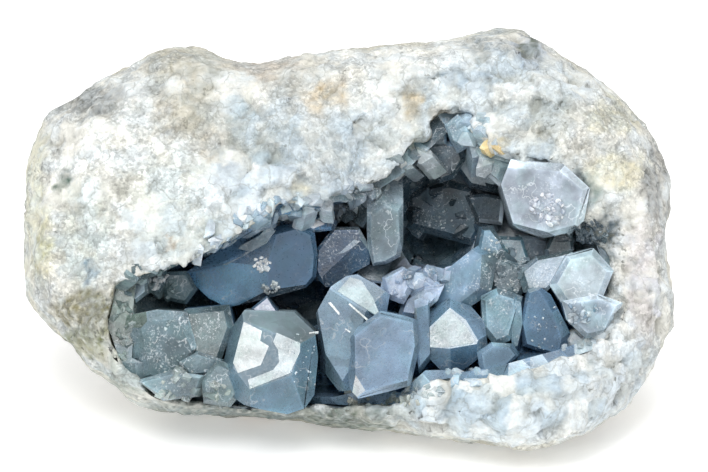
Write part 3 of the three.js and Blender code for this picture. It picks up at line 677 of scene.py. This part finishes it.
# Where (u, v, half width, half height), how many, lengths, the two ends of the colours, finish
SMALL_CRYSTALS = [
    ((-9, 7, 8, 3), 16, (3, 6), (186, 196, 204), (120, 136, 150), MILKY),
    ((-35, -2, 6, 4), 26, (3, 5.5), (204, 214, 222), (130, 150, 168), MILKY),
    ((-25, 4.5, 6, 3), 20, (3, 5.5), (204, 214, 222), (130, 150, 168), MILKY),
    ((-15, 8, 7, 2.5), 20, (3, 6), (200, 210, 218), (126, 146, 162), MILKY),
    ((-60.5, -24, 2.5, 9), 22, (2, 4.5), (170, 182, 182), (84, 98, 98), MILKY),
    ((5, 11, 8, 3), 18, (3, 6), (176, 186, 194), (110, 124, 136), MILKY),
    ((15, 19, 3, 6), 12, (3, 5), (186, 192, 192), (110, 122, 130), MILKY),
    ((33, 23, 5, 5), 7, (4, 7), (206, 216, 222), (150, 168, 182), MILKY),
    ((37, 23, 2, 2), 2, (5, 6), (214, 190, 140), (206, 184, 136), MILKY),
    ((31, 29, 4, 3), 9, (4, 6), (196, 210, 220), (150, 170, 186), MILKY),
    ((61.5, 0.5, 6, 3.2), 80, (1.2, 2.6), (112, 124, 132), (56, 68, 76), DEEP),
    ((58, -28, 5, 2), 8, (3, 4.5), (206, 214, 220), (176, 190, 200), MILKY),
    ((16, -41.5, 8, 2), 22, (2, 4), (214, 222, 226), (140, 158, 166), MILKY),
    ((-54, -13, 7, 6), 22, (2, 5), (150, 168, 172), (80, 98, 104), DEEP),
    ((-44, -40, 14, 3), 22, (2, 5), (160, 170, 166), (100, 118, 122), MILKY),
    ((5, -43.5, 12, 1.2), 24, (1.5, 3), (206, 208, 196), (120, 132, 132), MILKY),
    # Partly painted shade: the dark small crystals in the gap between the big crystals
    ((-22, -19, 12, 3), 12, (3, 6), (120, 140, 160), (66, 86, 104), DEEP),
    ((18, -13, 9, 5), 18, (3, 6), (168, 182, 204), (120, 144, 170), MILKY),
    ((27, -37, 9, 2.5), 10, (3, 6), (200, 212, 222), (150, 174, 192), MILKY),
    ((41, -9, 5, 6), 14, (2, 5), (130, 146, 156), (70, 86, 96), DEEP),
    # Partly painted shade: the dark small crystals of the chamber under the brow
    ((24, 6, 12, 16), 16, (3, 7), (92, 106, 116), (56, 70, 80), DEEP),
]

# Faces that stay clear of the small crystals
BARE = [
    (-21, -32, 12, 12), (-4, -26, 7, 13), (8, -31, 9, 10), (26, -26, 8, 8), (50, -23, 6, 9),
    (-22, -9, 16, 8.5), (-5, -6, 6, 7), (47, 9, 8.5, 8), (61, -13, 7, 8), (8, 0, 4, 7),
]

# Sprays of tiny crystals on the large faces; two of them are painted white as painted glints
SPRAYS = [
    ((-24.2, -7.4, 2.2, 1.8), 26, (0.8, 1.6), (236, 240, 242), (200, 210, 216), MILKY),
    ((-22, -13.6, 2.6, 1.6), 26, (0.7, 1.4), (226, 236, 238), (140, 160, 170), MILKY),
    # Painted highlight: this white spray stands in for a glint on the dark crystals
    ((-52, -12, 2, 2), 16, (0.9, 1.8), (236, 240, 242), (180, 190, 196), MILKY),
    # Painted highlight: this pale spray stands in for glints on the chamber's crystals
    ((24, 7, 5, 5), 26, (0.5, 1.0), (210, 220, 226), (120, 136, 146), MILKY),
    ((20, -5, 7, 3), 12, (0.5, 1.0), (210, 220, 226), (120, 136, 146), MILKY),
    ((39, -8, 6, 8), 40, (0.5, 1.1), (226, 232, 236), (150, 164, 172), MILKY),
    ((50, -23, 5, 8), 26, (0.4, 0.9), (200, 212, 222), (120, 140, 156), MILKY),
    ((-13, -33, 4, 9), 22, (0.4, 0.9), (200, 214, 222), (140, 160, 176), MILKY),
    ((-49, -28, 5, 7), 50, (0.4, 1.0), (170, 184, 190), (110, 128, 138), MILKY),
    ((51, 7, 5, 4), 50, (0.8, 2.2), (226, 230, 236), (150, 162, 180), MILKY),
    ((60, -20, 4, 3), 24, (0.8, 2.4), (214, 226, 234), (110, 140, 164), MILKY),
]


# Adds crystals that grow from what is seen at each spot. One that would cover a bare place or pass
# the CAD's box is left out.
def scatter(whole, tree, rand, spots, bare, sunk):
    lowest, highest = (Vector(corner) for corner in cad_box)
    for place, count, lengths, pale, strong, finish in spots:
        for _ in range(count):
            angle = rand.uniform(0, 2 * math.pi)
            far = math.sqrt(rand.random())
            u = place[0] + place[2] * far * math.cos(angle)
            v = place[1] + place[3] * far * math.sin(angle)
            length = rand.uniform(*lengths) * MM
            width = length * rand.uniform(0.7, 1.1)
            colour = mixed(linear(pale), linear(strong), rand.random())
            wander = Vector((rand.gauss(0, 0.35), rand.gauss(0, 0.35), rand.gauss(0, 0.35)))
            spin = Quaternion((0, 0, 1), rand.uniform(0, 2 * math.pi))
            foot, normal, _ = met_at(tree, u, v)
            if foot is None:
                continue
            turn = (normal + 0.4 * OUT + wander).to_track_quat("Z", "Y") @ spin
            mesh = blade(rand, length, width)
            for vertex in mesh.verts:
                vertex.co = turn @ (vertex.co - Vector((0, 0, sunk * length))) + foot
            inside = all(
                lowest[i] < vertex.co[i] < highest[i] for vertex in mesh.verts for i in range(3)
            )
            over = any(
                distance_in(*seen(vertex.co)[:2], spot) < 1 for vertex in mesh.verts
                for spot in bare
            )
            if over or not inside:
                mesh.free()
                continue
            layers = paint_layers(mesh)
            for face in mesh.faces:
                face.material_index = finish
                shade = rand.uniform(0.85, 1.12)
                paint(face, *layers, [value * shade for value in colour], rand.uniform(0.15, 0.45))
            add_to(whole, mesh)


def make_small_crystals(stone, crystals):
    rand = random.Random(11)
    carrier = bmesh.new()
    for thing in (stone, crystals):
        carrier.from_mesh(thing.data)
    tree = BVHTree.FromBMesh(carrier)
    carrier.free()
    whole = bmesh.new()
    paint_layers(whole)
    scatter(whole, tree, rand, SMALL_CRYSTALS, BARE, SUNK)
    scatter(whole, tree, rand, SPRAYS, [], SUNK_SPRAY)
    small = new_object("small_crystals", whole)
    for material in crystals.data.materials:
        small.data.materials.append(material)
    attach(small, "root")


# Materials

class Finish:
    def __init__(self, name):
        self.material = bpy.data.materials.new(name)
        self.material.use_nodes = True
        self.tree = self.material.node_tree
        self.tree.nodes.clear()
        self.surface = self.add("ShaderNodeBsdfPrincipled")
        self.output = self.add("ShaderNodeOutputMaterial")
        self.link(self.surface.outputs["BSDF"], self.output.inputs["Surface"])
        self.place = self.add("ShaderNodeTexCoord").outputs["Object"]

    def add(self, kind, **settings):
        node = self.tree.nodes.new(kind)
        for key, value in settings.items():
            setattr(node, key, value)
        return node

    def link(self, output, socket):
        self.tree.links.new(output, socket)

    def set_input(self, name, value):
        self.surface.inputs[name].default_value = value

    def attribute(self, name, output="Color"):
        return self.add("ShaderNodeAttribute", attribute_name=name).outputs[output]

    def noise(self, size, detail=4, rough=0.55, place=None):
        node = self.add("ShaderNodeTexNoise")
        node.inputs["Scale"].default_value = 1 / size
        node.inputs["Detail"].default_value = detail
        node.inputs["Roughness"].default_value = rough
        self.link(place or self.place, node.inputs["Vector"])
        return node.outputs[0]

    # The value's way from low to high, as a number from to_low to to_high
    def between(self, value, low, high, to_low=0.0, to_high=1.0):
        node = self.add("ShaderNodeMapRange")
        self.link(value, node.inputs["Value"])
        for key, number in zip(
            ("From Min", "From Max", "To Min", "To Max"), (low, high, to_low, to_high)
        ):
            node.inputs[key].default_value = number
        return node.outputs["Result"]

    def maths(self, operation, first, second):
        node = self.add("ShaderNodeMath", operation=operation)
        for socket, value in zip(node.inputs, (first, second)):
            if isinstance(value, (int, float)):
                socket.default_value = value
            else:
                self.link(value, socket)
        return node.outputs[0]

    def scaled(self, colour, value):
        node = self.add("ShaderNodeVectorMath", operation="SCALE")
        self.link(colour, node.inputs[0])
        self.link(value, node.inputs["Scale"])
        return node.outputs[0]

    def mix_values(self, first, second, share):
        node = self.add("ShaderNodeMix")
        for key, value in ((2, first), (3, second), (0, share)):
            self.link(value, node.inputs[key])
        return node.outputs[0]

    def mix(self, first, second, share):
        node = self.add("ShaderNodeMix", data_type="RGBA")
        for key, value in ((6, first), (7, second), (0, share)):
            if hasattr(value, "is_output"):
                self.link(value, node.inputs[key])
            elif key == 0:
                node.inputs[key].default_value = value
            else:
                node.inputs[key].default_value = (*value, 1)
        return node.outputs[2]

    def tinted(self, colour, by):
        node = self.add("ShaderNodeVectorMath", operation="MULTIPLY")
        self.link(colour, node.inputs[0])
        node.inputs[1].default_value = by
        return node.outputs[0]

    def shifted(self, by):
        node = self.add("ShaderNodeVectorMath", operation="ADD")
        self.link(self.place, node.inputs[0])
        node.inputs[1].default_value = by
        return node.outputs[0]

    # Places pushed to and fro by noise of the size, as far as reach
    def warped(self, size, reach):
        ripple = self.add("ShaderNodeTexNoise")
        ripple.inputs["Scale"].default_value = 1 / size
        self.link(self.place, ripple.inputs["Vector"])
        node = self.add("ShaderNodeVectorMath", operation="MULTIPLY_ADD")
        self.link(ripple.outputs["Color"], node.inputs[0])
        node.inputs[1].default_value = (reach, reach, reach)
        self.link(self.place, node.inputs[2])
        return node.outputs[0]

    # Cells of the size: how far from a cell's middle, and a number of the cell's own
    def cells(self, size, place):
        node = self.add("ShaderNodeTexVoronoi")
        node.inputs["Scale"].default_value = 1 / size
        self.link(place, node.inputs["Vector"])
        own = self.add("ShaderNodeSeparateColor")
        self.link(node.outputs["Color"], own.inputs[0])
        return node.outputs["Distance"], own.outputs[0]

    # How near the border of a cell of the size, 0 on it
    def cracks(self, size, place):
        node = self.add("ShaderNodeTexVoronoi", feature="DISTANCE_TO_EDGE")
        node.inputs["Scale"].default_value = 1 / size
        self.link(place, node.inputs["Vector"])
        return node.outputs["Distance"]

    def bump(self, height, distance, strength):
        node = self.add("ShaderNodeBump")
        node.inputs["Distance"].default_value = distance
        node.inputs["Strength"].default_value = strength
        self.link(height, node.inputs["Height"])
        self.link(node.outputs["Normal"], self.surface.inputs["Normal"])


def stone_material():
    finish = Finish("broken stone")
    mottle = finish.noise(3.2 * MM, detail=6, rough=0.65)
    grain_place = finish.warped(0.6 * MM, 0.5 * MM)
    distance, grain = finish.cells(0.75 * MM, grain_place)
    _, clast = finish.cells(2.2 * MM, finish.warped(1.2 * MM, 1.2 * MM))
    ice = finish.attribute("ice", "Fac")
    slow = finish.noise(13 * MM, detail=3, place=finish.shifted((0, 0.2, 0.1)))
    calm = finish.maths("MAXIMUM", ice, finish.between(slow, 0.46, 0.58))
    sugary = finish.maths(
        "MULTIPLY", finish.between(grain, 0, 1, 0.68, 1.14),
        finish.between(clast, 0, 1, 0.84, 1.08),
    )
    smooth_tone = finish.between(clast, 0, 1, 0.94, 1.04)
    blend = finish.mix_values(sugary, smooth_tone, finish.between(calm, 0, 1, 0, 0.75))
    shade = finish.maths("MULTIPLY", finish.between(mottle, 0.32, 0.6, 0.8, 1.05), blend)
    colour = finish.scaled(finish.attribute("tone"), shade)
    warm = finish.noise(7 * MM, detail=5, rough=0.6, place=finish.shifted((0.3, 0.1, 0)))
    colour = finish.mix(
        finish.tinted(colour, (1.0, 0.985, 0.93)), finish.tinted(colour, (0.93, 0.975, 1.0)),
        finish.between(warm, 0.42, 0.58),
    )
    crack = finish.cracks(8 * MM, finish.warped(2.5 * MM, 3.5 * MM))
    crack = finish.maths(
        "MULTIPLY", finish.between(crack, 0.0, 0.035, 0.5, 0.0), finish.between(warm, 0.45, 0.52)
    )
    colour = finish.mix(colour, linear(CRACK_GREY), crack)
    clumps = finish.noise(4.5 * MM, detail=3)
    speckle = finish.attribute("grain", "Fac")
    limit = finish.maths("ADD", grain, finish.between(clumps, 0.3, 0.7, -0.35, 0.12))
    limit = finish.maths("ADD", limit, finish.between(speckle, 0, 1, -0.12, 0.3))
    colour = finish.mix(colour, linear(SPECK_DARK), finish.between(limit, 0.9, 1.15, 0, 0.75))
    finish.link(colour, finish.surface.inputs["Base Color"])
    finish.link(finish.between(ice, 0, 1, 0.85, 0.4), finish.surface.inputs["Roughness"])
    pits = finish.maths(
        "ADD", finish.noise(1.6 * MM, detail=9, rough=0.72),
        finish.maths("MULTIPLY", distance, finish.between(calm, 0, 1, -0.8, -0.2)),
    )
    pits = finish.maths(
        "ADD", pits, finish.maths("MULTIPLY", grain, finish.between(calm, 0, 1, 0.5, 0.1))
    )
    finish.bump(pits, 0.6 * MM, 0.8)
    return finish.material


# The finish that all crystals share: how cloudy, how dusty and how rippled it is
def crystal_body(name, cloud, specks, ripple):
    finish = Finish(name)
    tint = finish.attribute("tint")
    drift = finish.noise(8 * MM, detail=3)
    veil = finish.noise(2.6 * MM, detail=6, rough=0.6)
    fine = finish.noise(0.7 * MM, detail=4, rough=0.6)
    shade = finish.maths(
        "MULTIPLY",
        finish.between(drift, 0.35, 0.65, 1 - cloud, 1 + 0.8 * cloud),
        finish.between(veil, 0.3, 0.7, 1 - 0.5 * cloud, 1 + 0.5 * cloud),
    )
    _, pane = finish.cells(7 * MM, finish.warped(3 * MM, 2.5 * MM))
    shade = finish.maths("MULTIPLY", shade, finish.between(pane, 0, 1, 0.88, 1.14))
    colour = finish.scaled(tint, shade)
    other = finish.noise(6 * MM, detail=2)
    colour = finish.mix(
        colour, finish.tinted(colour, (0.93, 1.0, 0.96)), finish.between(other, 0.45, 0.6)
    )
    # Thin white healed cracks, and white dust that lies in patches
    crack = finish.maths("ABSOLUTE", finish.maths("SUBTRACT", finish.noise(7 * MM, detail=3), 0.5), 0)
    patchy = finish.between(finish.noise(9 * MM, detail=2), 0.5, 0.6)
    white = finish.maths("MULTIPLY", finish.between(crack, 0.0, 0.012, 0.55, 0.0), patchy)
    dusty = finish.between(finish.noise(5 * MM, detail=3), 0.42, 0.6, 0.07, -0.03)
    dust = finish.maths("SUBTRACT", finish.noise(0.55 * MM, detail=3, rough=0.8), dusty)
    dust = finish.between(dust, 0.56, 0.68, 0, specks)
    white = finish.maths("MAXIMUM", white, dust)
    colour = finish.mix(colour, linear(VEIN_WHITE), white)
    finish.link(colour, finish.surface.inputs["Base Color"])
    finish.set_input("IOR", CELESTITE_IOR)
    rough = finish.maths(
        "MULTIPLY", finish.attribute("polish", "Fac"), finish.between(fine, 0.3, 0.7, 0.7, 1.3)
    )
    finish.link(rough, finish.surface.inputs["Roughness"])
    waves = finish.maths("ADD", finish.noise(3 * MM, detail=4), fine)
    uneven = finish.maths("MULTIPLY", waves, finish.between(rough, 0.03, 0.2))
    finish.bump(uneven, 0.16 * MM, ripple)
    return finish


def clear_material():
    finish = crystal_body("clear blue crystal", 0.22, 0.14, 0.25)
    finish.set_input("Transmission Weight", 0.5)
    volume = finish.add("ShaderNodeVolumeAbsorption")
    volume.inputs["Color"].default_value = (0.35, 0.56, 0.70, 1)
    volume.inputs["Density"].default_value = 18
    finish.link(volume.outputs[0], finish.output.inputs["Volume"])
    return finish.material


def milky_material():
    finish = crystal_body("milky crystal", 0.34, 0.5, 0.8)
    finish.set_input("Subsurface Weight", 0.35)
    finish.set_input("Subsurface Radius", (0.7, 0.85, 1.0))
    finish.set_input("Subsurface Scale", 3 * MM)
    return finish.material


def deep_material():
    return crystal_body("deep slate crystal", 0.4, 0.6, 0.8).material


# The studio

def aim(thing, target):
    thing.rotation_euler = (target - thing.location).to_track_quat("-Z", "Y").to_euler()


# Towards azimuth and elevation in degrees, with 0 at the front
def direction(azimuth, elevation):
    a = math.radians(azimuth)
    e = math.radians(elevation)
    return Vector((math.sin(a) * math.cos(e), -math.cos(a) * math.cos(e), math.sin(e)))


def softbox(name, azimuth, elevation, distance, size, power):
    data = bpy.data.lights.new(name, "AREA")
    data.shape = "RECTANGLE"
    data.size, data.size_y = size
    data.energy = power
    light = bpy.data.objects.new(name, data)
    light.location = FACE_MIDDLE + distance * direction(azimuth, elevation)
    aim(light, FACE_MIDDLE)
    bpy.context.scene.collection.objects.link(light)


def studio():
    scene = bpy.context.scene
    mesh = bmesh.new()
    bmesh.ops.create_grid(mesh, x_segments=1, y_segments=1, size=3)
    floor = new_object("floor", mesh)
    finish = Finish("white floor")
    finish.set_input("Base Color", (0.95, 0.95, 0.95, 1))
    finish.set_input("Roughness", 0.9)
    finish.set_input("IOR", 1.2)
    finish.set_input("Emission Color", (1, 1, 1, 1))
    finish.set_input("Emission Strength", 0.3)
    floor.data.materials.append(finish.material)
    world = bpy.data.worlds.new("bright room")
    world.use_nodes = True
    background = world.node_tree.nodes["Background"]
    background.inputs["Color"].default_value = (1, 1, 1, 1)
    background.inputs["Strength"].default_value = 0.75
    scene.world = world
    softbox("front softbox", -10, 46, 0.7, (0.3, 0.26), 2.4)
    softbox("top softbox", 30, 75, 0.9, (0.5, 0.5), 3.0)
    camera = bpy.data.objects.new("camera", bpy.data.cameras.new("camera"))
    camera.data.sensor_width = 36
    camera.data.lens = camera.data.sensor_width * EYE / (PHOTO_WIDTH * PIXEL)
    camera.location = FACE_MIDDLE + EYE * OUT
    aim(camera, FACE_MIDDLE)
    scene.collection.objects.link(camera)
    scene.camera = camera
    scene.view_settings.view_transform = "Standard"


stone = make_stone()
crystals = make_crystals()
make_small_crystals(stone, crystals)
studio()
